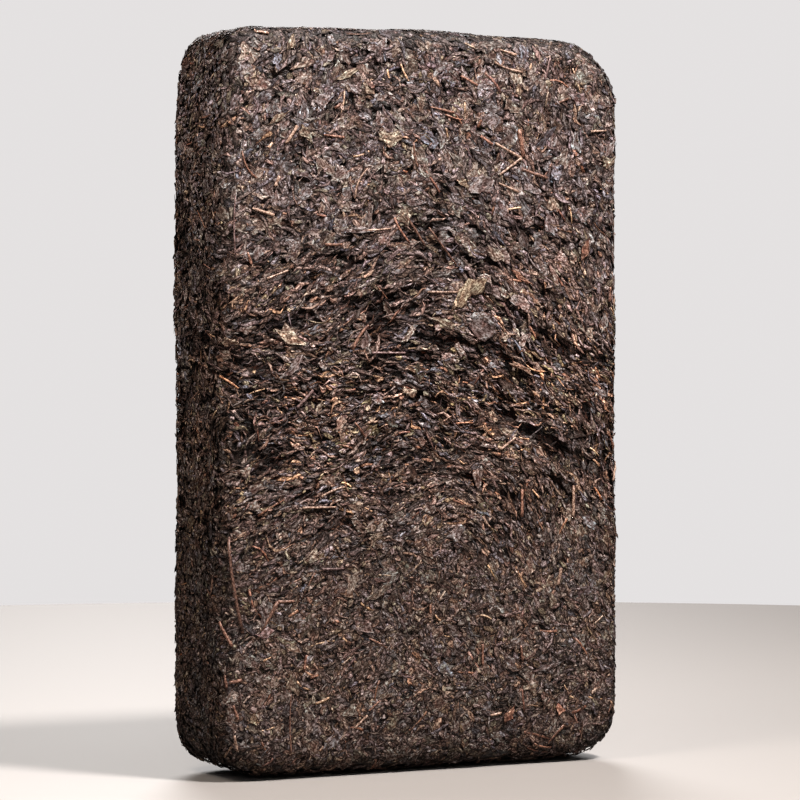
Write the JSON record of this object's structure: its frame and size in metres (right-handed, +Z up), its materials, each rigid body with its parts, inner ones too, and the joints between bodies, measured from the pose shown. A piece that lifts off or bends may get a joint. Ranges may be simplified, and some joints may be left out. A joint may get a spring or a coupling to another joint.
{
  "type": "fu brick tea",
  "caption": "Pressed brick of dark fermented tea leaf and stems, with rounded corners, standing on a short end.",
  "frame": {"origin": "middle of the underside, at the centre of the box around the brick", "axes": "+Z up along the long sides, -Y out of the front broad face, +X to the right seen from the front"},
  "size_m": [0.1504, 0.0451, 0.2453],
  "materials": {
    "pressed_leaf": "dry pressed dark tea leaf, dull with a faint sheen on the flattest pieces"
  },
  "bodies": {
    "root": {"tea_brick": "pressed_leaf"}
  },
  "joints": []
}
